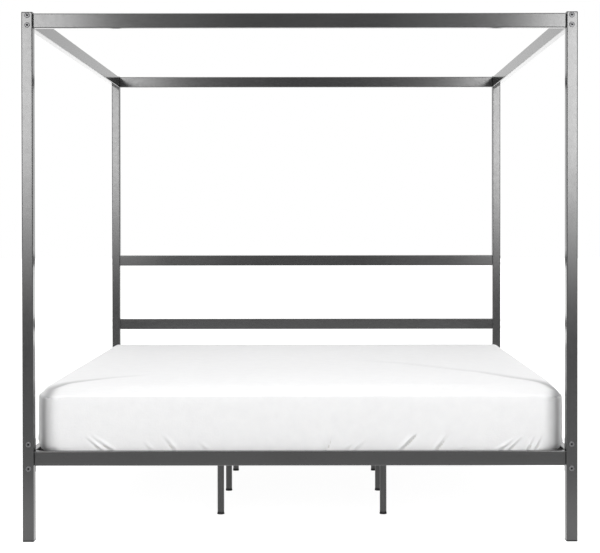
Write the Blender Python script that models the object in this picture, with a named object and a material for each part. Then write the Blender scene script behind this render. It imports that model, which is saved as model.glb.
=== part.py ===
"""King-size four poster canopy bed: bolted steel tube frame, steel slats, mattress and fitted sheet.

Metres, +Z up. The floor is z = 0, the bed's middle is x = y = 0, the foot end is at -Y, and
"left" is -X, as seen by someone who stands at the foot end.
"""
import math

import bmesh
import bpy

# Overall size, over the outer faces of the four posts
BED_WIDTH = 1.895
BED_LENGTH = 2.085
POST_TOP = 1.805            # top of the post's tube, under its cap

# Tubes
POST_SIZE = 0.038
POST_WALL = 0.0012
RAIL_THICKNESS = 0.025
RAIL_HEIGHT = 0.050
RAIL_WALL = 0.0012
TUBE_CORNER = 0.003
CORNER_STEPS = 2

# Tops of the horizontal rails
CANOPY_RAIL_TOP = 1.805
BASE_RAIL_TOP = 0.308
HEADBOARD_TOPS = {"upper": 0.935, "lower": 0.625}

# How a rail meets a post: the tube stops short, and a smaller welded pad bears on the post
CLEARANCE = 0.0003
RAIL_END_GAP = 0.0018
PAD_INSET = 0.0025
END_PLATE = 0.003
SIDE_PLATE_BOTTOM = 0.2345
SIDE_PLATE_TOP = 0.349
VENT_RADIUS = 0.003

# Bolts
BOLT_INSET = 0.0205         # from the post's outer faces to the bolts' axes
RAIL_BOLT_OFFSET = 0.0165   # of a pair, above and below the rail's middle
SIDE_BOLT_HEIGHTS = (0.250, 0.333)
BOLT_SIDES = 8
SHANK_RADIUS = 0.004
HOLE_RADIUS = 0.0043
HEAD_RADIUS = 0.0093
HEAD_THICKNESS = 0.0015
SOCKET_RADIUS = 0.0032
SOCKET_DEPTH = 0.0011
BOLT_LENGTH = 0.048
BOLT_BAR = 0.012
BAR_MARGIN = 0.0045

# Plastic ends of the posts
CAP_THICKNESS = 0.003
CAP_PLUG = 0.003
GLIDE_THICKNESS = 0.004
GLIDE_PLUG = 0.012
PLUG_CLEARANCE = 0.0003

# Slats and the ledge that carries them
SLAT_COUNT = 17
SLAT_WIDTH = 0.030
SLAT_HEIGHT = 0.015
SLAT_WALL = 0.0010
SLAT_TOP = 0.293
SLAT_END_GAP = 0.001
LEDGE_WIDTH = 0.022
LEDGE_THICKNESS = 0.002
LEDGE_BITE = 0.0008         # how far the ledge's weld reaches into the rail's wall

# Support legs and their levelling feet
LEG_SLATS = (4, 8, 12)
LEG_X = 0.304
LEG_RADIUS = 0.0125
LEG_WALL = 0.0012
LEG_TOP_PLATE = 0.003
LEG_INSERT = 0.006
STUD_LENGTH = 0.008
FOOT_HEIGHT = 0.009
FOOT_RIM_RADIUS = 0.014
FOOT_RIM_EASE = 0.0008      # softening of the rim where it meets the floor
FOOT_NECK_RADIUS = 0.0128
FOOT_RIM_HEIGHT = 0.003
STEM_LENGTH = 0.034
ROUND_SIDES = 12

# Mattress and sheet
MATTRESS_WIDTH = 1.796
MATTRESS_LENGTH = 1.996
MATTRESS_TOP = 0.513
MATTRESS_CORNER = 0.045     # seen from above
LOW_EDGE = 0.030            # rounding of the underside's edge
TOP_EDGE = 0.020
EDGE_STEPS = 4
MATTRESS_CORNER_STEPS = 4
PADDING = 0.022             # the quilted cover and foam around the hollow for the springs
EYELET_RADIUS = 0.004
EYELET_PLACES = (-0.5, 0.5)
SHEET_THICKNESS = 0.0017
HEM_STEP = 1                # the sheet's hem, as a step around the lower edge

SIDES = {"left": -1, "right": 1}
ENDS = {"foot": -1, "head": 1}


# ---------------------------------------------------------------- materials

def material(name, colour, roughness, metallic=0.0):
    """A Principled material with plain values."""
    made = bpy.data.materials.new(name)
    made.use_nodes = True
    shader = made.node_tree.nodes["Principled BSDF"]
    shader.inputs["Base Color"].default_value = (*colour, 1.0)
    shader.inputs["Roughness"].default_value = roughness
    shader.inputs["Metallic"].default_value = metallic
    made.diffuse_color = (*colour, 1.0)
    return made


def make_materials():
    return {
        "coat": material("graphite_powder_coat", (0.10, 0.10, 0.102), 0.32, 0.3),
        "slat": material("black_powder_coat", (0.03, 0.03, 0.031), 0.45, 0.2),
        "plastic": material("black_plastic", (0.018, 0.018, 0.018), 0.5),
        "bolt": material("grey_bolt_steel", (0.28, 0.28, 0.285), 0.35, 0.9),
        "ticking": material("mattress_ticking", (0.72, 0.71, 0.68), 0.9),
        "cotton": material("white_cotton", (0.86, 0.86, 0.86), 0.85),
    }


# ---------------------------------------------------------------- mesh helpers

def rounded_outline(width, height, radius, steps):
    """Points of a rectangle with round corners, around (0, 0)."""
    points = []
    corners = ((1, 1), (-1, 1), (-1, -1), (1, -1))
    for quarter, (sign_u, sign_v) in enumerate(corners):
        centre_u = sign_u * (width / 2 - radius)
        centre_v = sign_v * (height / 2 - radius)
        for step in range(steps + 1):
            angle = math.pi / 2 * (quarter + step / steps)
            points.append((centre_u + radius * math.cos(angle), centre_v + radius * math.sin(angle)))
    return points


def circle_outline(radius, sides):
    turn = 2 * math.pi / sides
    return [(radius * math.cos(i * turn), radius * math.sin(i * turn)) for i in range(sides)]


def to_axis(axis, along, u, v):
    """A point at `along` on the axis and (u, v) across it."""
    return {"X": (along, u, v), "Y": (u, along, v), "Z": (u, v, along)}[axis]


def skin(mesh, axis, rings, loop=False, inward=False):
    """Adds a closed surface through rings of points; a ring is (place along the axis, outline)."""
    rows = []
    for along, outline in rings:
        rows.append([mesh.verts.new(to_axis(axis, along, u, v)) for u, v in outline])
    faces = []
    pairs = list(zip(rows, rows[1:]))
    if loop:
        pairs.append((rows[-1], rows[0]))
    else:
        faces.append(mesh.faces.new(rows[0]))
        faces.append(mesh.faces.new(rows[-1]))
    for lower, upper in pairs:
        count = len(lower)
        for i in range(count):
            j = (i + 1) % count
            faces.append(mesh.faces.new((lower[i], lower[j], upper[j], upper[i])))
    bmesh.ops.recalc_face_normals(mesh, faces=faces)
    if inward:
        bmesh.ops.reverse_faces(mesh, faces=faces)


def box(mesh, low, high):
    """Adds a closed box between two corners."""
    size = [b - a for a, b in zip(low, high)]
    middle = [(a + b) / 2 for a, b in zip(low, high)]
    outline = [(middle[0] + u * size[0] / 2, middle[1] + v * size[1] / 2)
               for u, v in ((1, 1), (-1, 1), (-1, -1), (1, -1))]
    skin(mesh, "Z", ((low[2], outline), (high[2], outline)))


def new_object(name, mesh, finish, location=(0, 0, 0), smooth=None):
    """Turns a bmesh into a placed object with one material."""
    data = bpy.data.meshes.new(name)
    mesh.to_mesh(data)
    mesh.free()
    if finish is not None:
        data.materials.append(finish)
    if smooth is not None:
        data.shade_smooth()
        data.set_sharp_from_angle(angle=math.radians(smooth))
    made = bpy.data.objects.new(name, data)
    made.location = location
    bpy.context.scene.collection.objects.link(made)
    return made


def combine(target, tool_mesh, operation):
    """Applies a Boolean of a loose tool mesh, given in the target's own coordinates."""
    tool = new_object("tool", tool_mesh, None, target.location)
    modifier = target.modifiers.new(operation.title(), "BOOLEAN")
    modifier.solver = "EXACT"
    modifier.operation = operation
    modifier.object = tool
    bpy.context.view_layer.update()
    depsgraph = bpy.context.evaluated_depsgraph_get()
    result = bpy.data.meshes.new_from_object(target.evaluated_get(depsgraph))
    result.name = target.data.name
    target.modifiers.clear()
    target.data = result
    bpy.data.objects.remove(tool)


def drill(mesh, axis, start, end, across, radius):
    """Adds a drilling tool along an axis, at (u, v) across it."""
    outline = [(across[0] + u, across[1] + v) for u, v in circle_outline(radius, BOLT_SIDES)]
    skin(mesh, axis, ((start, outline), (end, outline)))


# ---------------------------------------------------------------- bolt layout

def rail_bolt_heights(rail_top):
    middle = rail_top - RAIL_HEIGHT / 2
    return (middle - RAIL_BOLT_OFFSET, middle + RAIL_BOLT_OFFSET)


def post_bolts(end):
    """Each bolt of a post as (direction, height): Y bolts hold side rails, X bolts end rails."""
    bolts = [("Y", height) for height in SIDE_BOLT_HEIGHTS]
    bolts += [("X", height) for height in rail_bolt_heights(BASE_RAIL_TOP)]
    if end == "head":
        for rail_top in HEADBOARD_TOPS.values():
            bolts += [("X", height) for height in rail_bolt_heights(rail_top)]
    bolts += [("Y", height) for height in rail_bolt_heights(CANOPY_RAIL_TOP)]
    bolts.append(("X", CANOPY_RAIL_TOP - RAIL_HEIGHT / 2))
    return bolts


def post_centre(side, end):
    x = SIDES[side] * (BED_WIDTH - POST_SIZE) / 2
    y = ENDS[end] * (BED_LENGTH - POST_SIZE) / 2
    return x, y


def bolt_axis(side, end):
    """Where the bolts' axes cross, measured from the post's own middle."""
    shift = POST_SIZE / 2 - BOLT_INSET
    return SIDES[side] * shift, ENDS[end] * shift


# ---------------------------------------------------------------- posts and their ends

def make_post(side, end, finish):
    outer = rounded_outline(POST_SIZE, POST_SIZE, TUBE_CORNER, CORNER_STEPS)
    bore = POST_SIZE - 2 * POST_WALL
    inner = rounded_outline(bore, bore, TUBE_CORNER - POST_WALL, CORNER_STEPS)
    low = GLIDE_THICKNESS + CLEARANCE
    mesh = bmesh.new()
    skin(mesh, "Z", ((low, outer), (POST_TOP, outer), (POST_TOP, inner), (low, inner)), loop=True)
    post = new_object(f"post_{end}_{side}", mesh, finish, (*post_centre(side, end), 0))
    axis_x, axis_y = bolt_axis(side, end)
    tool = bmesh.new()
    for direction, height in post_bolts(end):
        across = (axis_x, height) if direction == "Y" else (axis_y, height)
        drill(tool, direction, -POST_SIZE, POST_SIZE, across, HOLE_RADIUS)
    combine(post, tool, "DIFFERENCE")
    return post


def make_post_end(name, side, end, base, thickness, plug, finish):
    """A flat plastic end with a plug inside the post; a negative plug points down."""
    flange = rounded_outline(POST_SIZE, POST_SIZE, TUBE_CORNER, CORNER_STEPS)
    fit = POST_SIZE - 2 * POST_WALL - 2 * PLUG_CLEARANCE
    stem = rounded_outline(fit, fit, TUBE_CORNER - POST_WALL, CORNER_STEPS)
    mesh = bmesh.new()
    if plug > 0:
        rings = ((0, flange), (thickness, flange), (thickness, stem), (thickness + plug, stem))
    else:
        rings = ((plug, stem), (0, stem), (0, flange), (thickness, flange))
    skin(mesh, "Z", rings)
    return new_object(f"{name}_{end}_{side}", mesh, finish, (*post_centre(side, end), base))


# ---------------------------------------------------------------- rails

def rail_body(mesh, axis, length, pad):
    """A rail's tube around its middle: closed ends, each with a pad that stands proud."""
    outer = rounded_outline(RAIL_THICKNESS, RAIL_HEIGHT, TUBE_CORNER, CORNER_STEPS)
    face = rounded_outline(RAIL_THICKNESS - 2 * PAD_INSET, RAIL_HEIGHT - 2 * PAD_INSET,
                           TUBE_CORNER / 2, CORNER_STEPS)
    hollow = rounded_outline(RAIL_THICKNESS - 2 * RAIL_WALL, RAIL_HEIGHT - 2 * RAIL_WALL,
                             TUBE_CORNER - RAIL_WALL, CORNER_STEPS)
    half = length / 2
    skin(mesh, axis, ((-half - pad, face), (-half, face), (-half, outer),
                      (half, outer), (half, face), (half + pad, face)))
    skin(mesh, axis, ((END_PLATE - half, hollow), (half - END_PLATE, hollow)), inward=True)


def rail_offset():
    """From the bed's outer face to the middle of a rail, which is flush with the posts inside."""
    return POST_SIZE - RAIL_THICKNESS / 2


def make_end_rail(name, end, top, heights, finish):
    """A rail across the bed, between two posts; heights are its bolts' heights."""
    length = BED_WIDTH - 2 * POST_SIZE - 2 * RAIL_END_GAP
    middle_y = ENDS[end] * (BED_LENGTH / 2 - rail_offset())
    middle_z = top - RAIL_HEIGHT / 2
    mesh = bmesh.new()
    rail_body(mesh, "X", length, RAIL_END_GAP - CLEARANCE)
    rail = new_object(name, mesh, finish, (0, middle_y, middle_z))
    bolt_y = ENDS[end] * (BED_LENGTH / 2 - BOLT_INSET) - middle_y
    tool = bmesh.new()
    for height in heights:
        for sign in SIDES.values():
            reach = (sign * (length / 2 - 2 * END_PLATE), sign * (length / 2 + POST_SIZE))
            drill(tool, "X", min(reach), max(reach), (bolt_y, height - middle_z), HOLE_RADIUS)
    combine(rail, tool, "DIFFERENCE")
    return rail


def make_canopy_side_rail(side, finish):
    length = BED_LENGTH - 2 * POST_SIZE - 2 * RAIL_END_GAP
    middle_x = SIDES[side] * (BED_WIDTH / 2 - rail_offset())
    middle_z = CANOPY_RAIL_TOP - RAIL_HEIGHT / 2
    mesh = bmesh.new()
    rail_body(mesh, "Y", length, RAIL_END_GAP - CLEARANCE)
    rail = new_object(f"canopy_rail_{side}", mesh, finish, (middle_x, 0, middle_z))
    bolt_x = SIDES[side] * (BED_WIDTH / 2 - BOLT_INSET) - middle_x
    tool = bmesh.new()
    for height in rail_bolt_heights(CANOPY_RAIL_TOP):
        for sign in ENDS.values():
            reach = (sign * (length / 2 - 2 * END_PLATE), sign * (length / 2 + POST_SIZE))
            drill(tool, "Y", min(reach), max(reach), (bolt_x, height - middle_z), HOLE_RADIUS)
    combine(rail, tool, "DIFFERENCE")
    return rail


def make_side_rail(side, finish):
    """A base side rail: tube, a tall bolting plate at each end, and the ledge under the slats."""
    sign = SIDES[side]
    half = BED_LENGTH / 2 - POST_SIZE - CLEARANCE
    middle_x = sign * (BED_WIDTH / 2 - rail_offset())
    middle_z = BASE_RAIL_TOP - RAIL_HEIGHT / 2
    outer = rounded_outline(RAIL_THICKNESS, RAIL_HEIGHT, TUBE_CORNER, CORNER_STEPS)
    mesh = bmesh.new()
    skin(mesh, "Y", ((END_PLATE / 2 - half, outer), (half - END_PLATE / 2, outer)))
    rail = new_object(f"side_rail_{side}", mesh, finish, (middle_x, 0, middle_z))

    plate_x = sorted((sign * BED_WIDTH / 2 - middle_x,
                      sign * (BED_WIDTH / 2 - POST_SIZE) - middle_x))
    ledge_top = SLAT_TOP - SLAT_HEIGHT - CLEARANCE - middle_z
    ledge_x = sorted((-sign * (RAIL_THICKNESS / 2 - LEDGE_BITE),
                      -sign * (RAIL_THICKNESS / 2 + LEDGE_WIDTH)))
    added = bmesh.new()
    for end_sign in ENDS.values():
        plate_y = sorted((end_sign * half, end_sign * (half - END_PLATE)))
        box(added, (plate_x[0], plate_y[0], SIDE_PLATE_BOTTOM - middle_z),
            (plate_x[1], plate_y[1], SIDE_PLATE_TOP - middle_z))
    ledge_half = half - 2 * END_PLATE
    box(added, (ledge_x[0], -ledge_half, ledge_top - LEDGE_THICKNESS),
        (ledge_x[1], ledge_half, ledge_top))
    combine(rail, added, "UNION")

    hollow = rounded_outline(RAIL_THICKNESS - 2 * RAIL_WALL, RAIL_HEIGHT - 2 * RAIL_WALL,
                             TUBE_CORNER - RAIL_WALL, CORNER_STEPS)
    inside = bmesh.new()
    skin(inside, "Y", ((END_PLATE - half, hollow), (half - END_PLATE, hollow)))
    combine(rail, inside, "DIFFERENCE")

    bolt_x = sign * (BED_WIDTH / 2 - BOLT_INSET) - middle_x
    tool = bmesh.new()
    for end_sign in ENDS.values():
        reach = sorted((end_sign * (half - 2 * END_PLATE), end_sign * (half + END_PLATE)))
        for height in SIDE_BOLT_HEIGHTS:
            drill(tool, "Y", *reach, (bolt_x, height - middle_z), HOLE_RADIUS)
        drill(tool, "Y", *reach, (0, 0), VENT_RADIUS)
    combine(rail, tool, "DIFFERENCE")
    return rail


# ---------------------------------------------------------------- bolts

def add_bolt(mesh, direction, outward, centre, height):
    """Adds a low-head socket bolt; `outward` is the sign of its head's side on the axis."""
    face = POST_SIZE / 2 + CLEARANCE
    top = face + HEAD_THICKNESS
    rings = (
        (top - SOCKET_DEPTH, SOCKET_RADIUS),
        (top, SOCKET_RADIUS),
        (top, HEAD_RADIUS),
        (face, HEAD_RADIUS),
        (face, SHANK_RADIUS),
        (POST_SIZE / 2 - BOLT_LENGTH, SHANK_RADIUS),
    )
    placed = []
    for along, radius in rings:
        outline = [(centre + u, height + v) for u, v in circle_outline(radius, BOLT_SIDES)]
        placed.append((outward * along, outline))
    skin(mesh, direction, placed)


def make_bolt_set(name, side, end, bolts, finish):
    """A corner's bolts, joined by the bar inside the post that they all pass through."""
    axis_x, axis_y = bolt_axis(side, end)
    heights = [height for direction, height in bolts]
    half = BOLT_BAR / 2
    mesh = bmesh.new()
    box(mesh, (axis_x - half, axis_y - half, min(heights) - BAR_MARGIN),
        (axis_x + half, axis_y + half, max(heights) + BAR_MARGIN))
    bolt_set = new_object(name, mesh, finish, (*post_centre(side, end), 0))
    tool = bmesh.new()
    for direction, height in bolts:
        if direction == "Y":
            add_bolt(tool, "Y", ENDS[end], axis_x, height)
        else:
            add_bolt(tool, "X", SIDES[side], axis_y, height)
    combine(bolt_set, tool, "UNION")
    return bolt_set


def make_all_bolts(finish):
    split = (BASE_RAIL_TOP + CANOPY_RAIL_TOP) / 2
    for side in SIDES:
        foot = post_bolts("foot")
        upper = [bolt for bolt in foot if bolt[1] > split]
        lower = [bolt for bolt in foot if bolt[1] < split]
        make_bolt_set(f"canopy_bolts_foot_{side}", side, "foot", upper, finish)
        make_bolt_set(f"base_bolts_foot_{side}", side, "foot", lower, finish)
        make_bolt_set(f"post_bolts_head_{side}", side, "head", post_bolts("head"), finish)


# ---------------------------------------------------------------- slats, legs and feet

def slat_y(number):
    return -BED_LENGTH / 2 + number * BED_LENGTH / (SLAT_COUNT + 1)


def make_slat(number, finish):
    half = BED_WIDTH / 2 - POST_SIZE - SLAT_END_GAP
    outer = rounded_outline(SLAT_WIDTH, SLAT_HEIGHT, 2 * SLAT_WALL, 1)
    inner = rounded_outline(SLAT_WIDTH - 2 * SLAT_WALL, SLAT_HEIGHT - 2 * SLAT_WALL, SLAT_WALL, 1)
    mesh = bmesh.new()
    skin(mesh, "X", ((-half, outer), (half, outer), (half, inner), (-half, inner)), loop=True)
    location = (0, slat_y(number), SLAT_TOP - SLAT_HEIGHT / 2)
    slat = new_object(f"slat_{number:02d}", mesh, finish, location)
    if number in LEG_SLATS:
        tool = bmesh.new()
        for sign in SIDES.values():
            drill(tool, "Z", -SLAT_HEIGHT, 0, (sign * LEG_X, 0), HOLE_RADIUS)
        combine(slat, tool, "DIFFERENCE")
    return slat


def turned(mesh, profile, sides):
    """Adds a turned solid about Z; the profile's first and last points end it flat."""
    skin(mesh, "Z", [(height, circle_outline(radius, sides)) for radius, height in profile])


def make_support_leg(row, side, finish):
    """A round leg: hollow, open at the foot's threaded hole, with a stud into its slat."""
    low = FOOT_HEIGHT + CLEARANCE
    high = SLAT_TOP - SLAT_HEIGHT - CLEARANCE
    bore = LEG_RADIUS - LEG_WALL
    profile = (
        (bore, high - LEG_TOP_PLATE),
        (bore, low + LEG_INSERT),
        (HOLE_RADIUS, low + LEG_INSERT),
        (HOLE_RADIUS, low),
        (LEG_RADIUS, low),
        (LEG_RADIUS, high),
        (SHANK_RADIUS, high),
        (SHANK_RADIUS, high + STUD_LENGTH),
    )
    mesh = bmesh.new()
    turned(mesh, profile, ROUND_SIDES)
    location = (SIDES[side] * LEG_X, slat_y(LEG_SLATS[row - 1]), 0)
    return new_object(f"support_leg_{row}_{side}", mesh, finish, location, smooth=40)


def make_levelling_foot(row, side, finish):
    """A flared plastic foot on a threaded stem; its origin is on the stem's axis."""
    profile = (
        (FOOT_RIM_RADIUS - FOOT_RIM_EASE, 0),
        (FOOT_RIM_RADIUS, FOOT_RIM_HEIGHT),
        (FOOT_NECK_RADIUS, FOOT_HEIGHT),
        (SHANK_RADIUS, FOOT_HEIGHT),
        (SHANK_RADIUS, STEM_LENGTH),
    )
    mesh = bmesh.new()
    turned(mesh, profile, ROUND_SIDES)
    location = (SIDES[side] * LEG_X, slat_y(LEG_SLATS[row - 1]), 0)
    return new_object(f"levelling_foot_{row}_{side}", mesh, finish, location, smooth=40)


# ---------------------------------------------------------------- mattress and sheet

def mattress_rings(grow, first_step=0):
    """Rings of the mattress's outer shape, grown evenly; first_step leaves out the lowest ones."""
    height = MATTRESS_TOP - SLAT_TOP - CLEARANCE
    rings = []
    for step in range(first_step, EDGE_STEPS + 1):
        turn = math.pi / 2 * step / EDGE_STEPS
        rings.append((LOW_EDGE * (1 - math.cos(turn)) - grow, LOW_EDGE * (1 - math.sin(turn))))
    for step in range(EDGE_STEPS + 1):
        turn = math.pi / 2 * step / EDGE_STEPS
        rings.append((height - TOP_EDGE * (1 - math.sin(turn)) + grow,
                      TOP_EDGE * (1 - math.cos(turn))))
    placed = []
    for level, inset in rings:
        radius = max(MATTRESS_CORNER - inset + grow, MATTRESS_CORNER / 10)
        outline = rounded_outline(MATTRESS_WIDTH - 2 * inset + 2 * grow,
                                  MATTRESS_LENGTH - 2 * inset + 2 * grow,
                                  radius, MATTRESS_CORNER_STEPS)
        placed.append((level, outline))
    return placed


def make_mattress(finish):
    """A padded shell, hollow for its springs, with two air eyelets in each long side."""
    mesh = bmesh.new()
    skin(mesh, "Z", mattress_rings(0))
    skin(mesh, "Z", mattress_rings(-PADDING), inward=True)
    mattress = new_object("mattress", mesh, finish, (0, 0, SLAT_TOP + CLEARANCE), smooth=60)
    eyelet_height = (MATTRESS_TOP - SLAT_TOP) / 2
    tool = bmesh.new()
    for sign in SIDES.values():
        for place in EYELET_PLACES:
            reach = sorted((sign * (MATTRESS_WIDTH / 2 - 2 * PADDING), sign * MATTRESS_WIDTH))
            drill(tool, "X", *reach, (place, eyelet_height), EYELET_RADIUS)
    combine(mattress, tool, "DIFFERENCE")
    return mattress


def make_fitted_sheet(mattress, finish):
    """The sheet's top and skirt, tucked around the lower edge and open underneath."""
    outside = mattress_rings(CLEARANCE + SHEET_THICKNESS, HEM_STEP)
    inside = mattress_rings(CLEARANCE, HEM_STEP)
    mesh = bmesh.new()
    skin(mesh, "Z", inside[::-1] + outside)
    sheet = new_object("fitted_sheet", mesh, finish, smooth=60)
    sheet.parent = mattress
    return sheet


# ---------------------------------------------------------------- the bed

def clear_scene():
    for old in list(bpy.data.objects):
        bpy.data.objects.remove(old)


def make_bed():
    finishes = make_materials()
    coat = finishes["coat"]
    for end in ENDS:
        for side in SIDES:
            make_post(side, end, coat)
            make_post_end("post_cap", side, end, POST_TOP + CLEARANCE, CAP_THICKNESS,
                          -CAP_PLUG, finishes["plastic"])
            make_post_end("post_glide", side, end, 0, GLIDE_THICKNESS, GLIDE_PLUG,
                          finishes["plastic"])
        canopy_bolt = (CANOPY_RAIL_TOP - RAIL_HEIGHT / 2,)
        make_end_rail(f"canopy_rail_{end}", end, CANOPY_RAIL_TOP, canopy_bolt, coat)
        make_end_rail(f"base_rail_{end}", end, BASE_RAIL_TOP,
                      rail_bolt_heights(BASE_RAIL_TOP), coat)
    for level, top in HEADBOARD_TOPS.items():
        make_end_rail(f"headboard_rail_{level}", "head", top, rail_bolt_heights(top), coat)
    for side in SIDES:
        make_canopy_side_rail(side, coat)
        make_side_rail(side, coat)
    make_all_bolts(finishes["bolt"])
    for number in range(1, SLAT_COUNT + 1):
        make_slat(number, finishes["slat"])
    for row in range(1, len(LEG_SLATS) + 1):
        for side in SIDES:
            make_support_leg(row, side, finishes["slat"])
            make_levelling_foot(row, side, finishes["plastic"])
    mattress = make_mattress(finishes["ticking"])
    make_fitted_sheet(mattress, finishes["cotton"])


clear_scene()
make_bed()
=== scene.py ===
"""Looks of the four poster canopy bed: powder-coated tubes, fasteners, mattress and fitted sheet."""

import math
import random

import bmesh
import bpy
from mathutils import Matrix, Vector


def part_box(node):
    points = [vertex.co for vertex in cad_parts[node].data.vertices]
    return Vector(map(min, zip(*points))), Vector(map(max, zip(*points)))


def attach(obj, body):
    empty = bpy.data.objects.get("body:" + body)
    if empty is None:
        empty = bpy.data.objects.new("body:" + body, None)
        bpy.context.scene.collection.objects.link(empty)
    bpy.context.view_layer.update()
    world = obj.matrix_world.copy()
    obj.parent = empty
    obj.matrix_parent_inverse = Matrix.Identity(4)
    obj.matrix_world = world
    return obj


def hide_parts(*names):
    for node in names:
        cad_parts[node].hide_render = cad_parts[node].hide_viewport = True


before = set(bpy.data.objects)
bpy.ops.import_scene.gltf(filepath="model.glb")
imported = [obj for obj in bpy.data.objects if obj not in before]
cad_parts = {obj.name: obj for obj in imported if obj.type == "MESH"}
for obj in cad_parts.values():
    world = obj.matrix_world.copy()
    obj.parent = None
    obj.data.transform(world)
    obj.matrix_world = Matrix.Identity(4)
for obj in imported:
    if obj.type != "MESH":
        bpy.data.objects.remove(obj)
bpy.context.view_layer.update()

FRAME_BODY = "bed_frame"
MATTRESS_BODY = "mattress_and_sheet"
SIDES = {"left": -1, "right": 1}
ENDS = {"foot": -1, "head": 1}

# Tubes, in metres as everything here
CORNER_RADIUS = 0.003
CORNER_STEPS = 6            # faces round one corner
SUPPORT_LOOP = 0.0005       # keeps a flat face flat beside its round corner
CUT_BEVEL = 0.0004          # softening of a sawn edge
POST_WALL = 0.0012
PAD_PROUD = 0.0015          # a rail's bearing pad past its tube
PAD_INSET = 0.0025
RAIL_HEIGHT = 0.050
RAIL_THICKNESS = 0.025
WELD_OVERLAP = 0.0002       # welded parts of one piece reach this far into each other
SEAT_GAP = 0.0003           # between two pieces that bear on each other

# Post ends
CAP_ROUNDING = 0.0012
CAP_PLAY = 0.003            # how much smaller the plug in the tube is than the cap

# Side rails
PLATE_THICKNESS = 0.003
LEDGE_WIDTH = 0.022
LEDGE_THICKNESS = 0.002

# Support legs and their feet
TURNED_SIDES = 40
STEM_RADIUS = 0.0040
STEM_ROOT = 0.0034
THREAD_PITCH = 0.00125
FOOT_HEIGHT = 0.009

# Slats
SLAT_NODES = [f"slat_{number:02d}" for number in range(1, 18)]
SLAT_WALL = 0.0010
SLAT_CORNER = 0.0012


# ---------------------------------------------------------------- nodes

def new_node(tree, kind, inputs=None, **settings):
    """A node in a tree, its settings made and its inputs linked or given their values."""
    node = tree.nodes.new(kind)
    for key, value in settings.items():
        setattr(node, key, value)
    for key, value in (inputs or {}).items():
        if isinstance(value, bpy.types.NodeSocket):
            tree.links.new(value, node.inputs[key])
        else:
            node.inputs[key].default_value = value
    return node


# ---------------------------------------------------------------- outlines and lofts

def tube_outline(width, height, radius, steps=CORNER_STEPS, support=SUPPORT_LOOP):
    """A rectangle with round corners around (0, 0), with a point just past each rounding."""
    points = []
    corners = ((1, 1), (-1, 1), (-1, -1), (1, -1))
    for quarter, (sign_u, sign_v) in enumerate(corners):
        centre = Vector((sign_u * (width / 2 - radius), sign_v * (height / 2 - radius)))
        start = math.pi / 2 * quarter
        arc = []
        for step in range(steps + 1):
            angle = start + math.pi / 2 * step / steps
            arc.append(centre + radius * Vector((math.cos(angle), math.sin(angle))))
        if support:
            before = Vector((math.cos(start - math.pi / 2), math.sin(start - math.pi / 2)))
            after = Vector((math.cos(start + math.pi), math.sin(start + math.pi)))
            arc.insert(0, arc[0] + support * before)
            arc.append(arc[-1] + support * after)
        points += [(p.x, p.y) for p in arc]
    return points


def round_outline(radius, sides):
    """A circle around (0, 0) as a polygon."""
    turn = 2 * math.pi / sides
    return [(radius * math.cos(i * turn), radius * math.sin(i * turn)) for i in range(sides)]


def on_axis(axis, along, u, v):
    """The point at a place along an axis, with u and v across it."""
    return {"X": (along, u, v), "Y": (u, along, v), "Z": (u, v, along)}[axis]


def loft(mesh, axis, rings, centre=(0, 0), loop=False, caps=True):
    """Adds a surface through rings, each (place along the axis, outline), around `centre`."""
    rows = []
    for along, outline in rings:
        rows.append([mesh.verts.new(on_axis(axis, along, centre[0] + u, centre[1] + v))
                     for u, v in outline])
    faces = []
    pairs = list(zip(rows, rows[1:]))
    if loop:
        pairs.append((rows[-1], rows[0]))
    elif caps:
        faces += [mesh.faces.new(rows[0]), mesh.faces.new(rows[-1])]
    for lower, upper in pairs:
        for i, corner in enumerate(lower):
            j = (i + 1) % len(lower)
            faces.append(mesh.faces.new((corner, lower[j], upper[j], upper[i])))
    bmesh.ops.recalc_face_normals(mesh, faces=faces)


def middle_in_plan(low, high):
    """X and Y of a box's middle."""
    return ((low.x + high.x) / 2, (low.y + high.y) / 2)


def block(mesh, low, high, bevel=CUT_BEVEL):
    """Adds a box with softened top, bottom and upright edges."""
    middle = (Vector(low) + Vector(high)) / 2
    size = Vector(high) - Vector(low)
    full = tube_outline(size.x, size.y, bevel, 2, 0)
    less = tube_outline(size.x - 2 * bevel, size.y - 2 * bevel, bevel / 2, 2, 0)
    rings = ((low[2], less), (low[2] + bevel, full), (high[2] - bevel, full), (high[2], less))
    loft(mesh, "Z", rings, (middle.x, middle.y))


def finish_piece(name, mesh, material, body, nodes=(), smooth=35):
    """Makes the object, shades it smooth up to an angle in degrees, and mounts it."""
    data = bpy.data.meshes.new(name)
    mesh.to_mesh(data)
    mesh.free()
    data.materials.append(material)
    data.shade_smooth()
    data.set_sharp_from_angle(angle=math.radians(smooth))
    piece = bpy.data.objects.new(name, data)
    bpy.context.scene.collection.objects.link(piece)
    return mount_piece(piece, body, nodes)


def mount_piece(piece, body, nodes=()):
    """Hangs a finished piece on its body, in place of its CAD nodes."""
    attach(piece, body)
    if nodes:
        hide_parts(*nodes)
    return piece


# ---------------------------------------------------------------- materials

PAINT_IOR = 1.8             # paint with fine metal flake mirrors more than plain paint
PLAIN_SPECULAR = 0.5
# Painted shade: near black for the inside of a bolt's driver recess
RECESS_PAINTED_SHADE = (0.004, 0.004, 0.004)
COTTON_TONES = ((0.79, 0.79, 0.795), (0.815, 0.815, 0.818))
# Painted shade: the cloth's colour down in the creases and round the corners
COTTON_PAINTED_SHADE = (0.26, 0.26, 0.265)
THREADS = 420.0


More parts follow.
